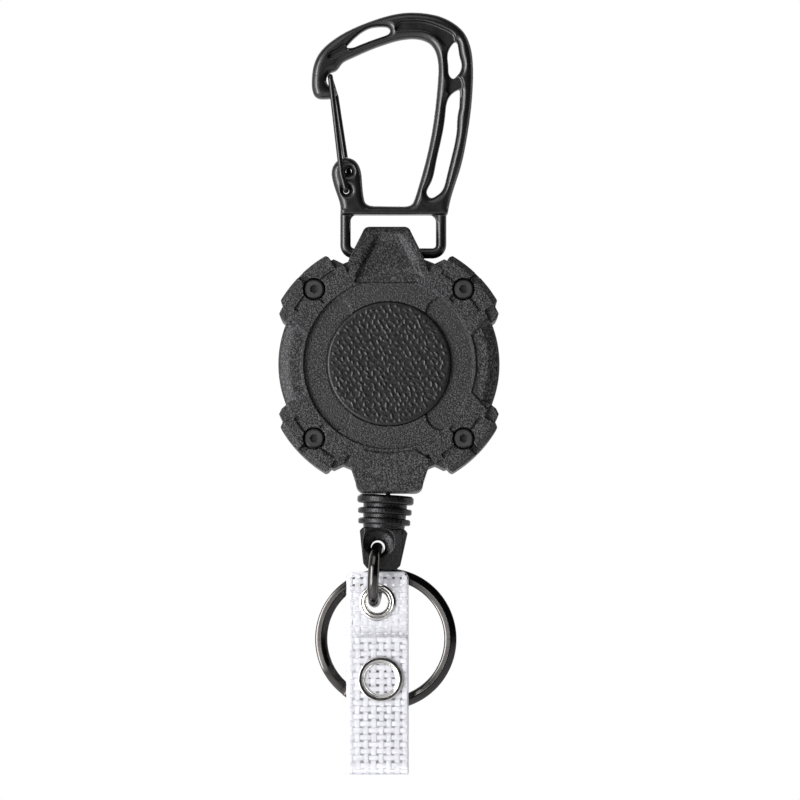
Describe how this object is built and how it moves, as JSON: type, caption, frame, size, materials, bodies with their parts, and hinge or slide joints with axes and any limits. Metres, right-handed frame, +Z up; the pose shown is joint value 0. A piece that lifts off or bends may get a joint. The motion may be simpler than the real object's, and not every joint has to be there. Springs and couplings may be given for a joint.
{
  "type": "retractable badge reel",
  "caption": "Round retractable badge reel hung from a two-rail snap hook, with a ribbed cord end, jump ring, key ring and snap-fastened mesh strap.",
  "frame": {"origin": "point on the inner edge of the snap hook's eye, on its mid-plane, where a belt loop bears", "axes": "+X to the viewer's right facing the textured disc, +Y away from the viewer through the reel's thickness, +Z up along the hanging part"},
  "size_m": [0.0414, 0.0144, 0.1434],
  "materials": {
    "hook_black": "satin",
    "gate_steel": "gloss",
    "case_plastic": "fine grain",
    "disc_plastic": "pebbled",
    "screw_black": "black oxide",
    "brass": "turned",
    "steel": "bright",
    "white_nylon": "satin",
    "bush_plastic": "gloss",
    "cord_black": "braided",
    "spool_plastic": "satin",
    "fitting_plastic": "satin",
    "black_nickel": "black nickel plate",
    "mesh_vinyl": "translucent vinyl over a woven mesh",
    "nickel": "nickel plate"
  },
  "bodies": {
    "hook": {"carabiner_frame": "hook_black"},
    "gate": {"wire_gate": "gate_steel"},
    "case": {"front_shell": "case_plastic", "rear_shell": "case_plastic", "grip_disc": "disc_plastic", "case_screws": "screw_black", "thread_inserts": "brass", "spool_axle": "steel", "axle_clip": "steel", "front_washer": "white_nylon", "rear_washer": "white_nylon", "cord_bushing": "bush_plastic", "cord_run": "cord_black"},
    "spool": {"spool_drum": "spool_plastic", "spring_cover": "spool_plastic", "cord_winding": "cord_black", "power_spring": "steel"},
    "fitting": {"end_bumper": "fitting_plastic", "end_block": "fitting_plastic", "cord_crimp": "brass", "cord_tail": "cord_black"},
    "link": {"jump_ring": "black_nickel", "strap_tab": "mesh_vinyl", "strap_eyelet": "nickel", "eyelet_washer": "nickel"},
    "key_ring": {"split_ring": "black_nickel"},
    "strap": {"strap_bend": "mesh_vinyl", "strap_panel": "mesh_vinyl", "strap_fold": "mesh_vinyl", "snap_stud": "nickel", "snap_ring_back": "nickel"},
    "flap": {"strap_flap": "mesh_vinyl", "snap_ring_front": "nickel", "snap_socket": "nickel"}
  },
  "joints": [
    {"name": "gate_swing", "type": "hinge", "parent": "hook", "child": "gate", "pos_m": [-0.00807, 0, -0.02803], "axis": [0, 1, 0], "range_deg": [0, 18], "stiffness_Nm_per_rad": 0.08, "springref_deg": -22.92},
    {"name": "reel_swing", "type": "hinge", "parent": "hook", "child": "case", "pos_m": [0, 0, -0.03976], "axis": [1, 0, 0], "range_deg": [-80, 80]},
    {"name": "cord_pull", "type": "slide", "parent": "case", "child": "fitting", "axis": [0, 0, -1], "range_m": [0, 0.6], "stiffness_N_per_m": 1.2, "springref_m": -0.7, "deforming": ["cord_tail"]},
    {"name": "spool_spin", "type": "hinge", "parent": "case", "child": "spool", "pos_m": [0, 0, -0.06097], "axis": [0, 1, 0], "range_deg": [0, 2425], "deforming": ["power_spring"]},
    {"name": "link_swing", "type": "hinge", "parent": "fitting", "child": "link", "pos_m": [-0.00215, 0, -0.09515], "axis": [1, 0, 0], "range_deg": [-6, 6]},
    {"name": "key_ring_swing", "type": "hinge", "parent": "link", "child": "key_ring", "pos_m": [-0.0006, 0.0025, -0.1001], "axis": [1, 0, 0], "range_deg": [0, 60]},
    {"name": "strap_flex", "type": "hinge", "parent": "link", "child": "strap", "pos_m": [-0.00215, 0, -0.1102], "axis": [1, 0, 0], "range_deg": [-60, 0], "deforming": ["strap_bend"]},
    {"name": "flap_open", "type": "hinge", "parent": "strap", "child": "flap", "pos_m": [-0.00215, -0.0013, -0.13615], "axis": [1, 0, 0], "range_deg": [0, 120], "deforming": ["strap_fold"]}
  ],
  "couplings": [
    {"joint": "spool_spin", "follows": "cord_pull", "rad_per_m": 70.4}
  ]
}
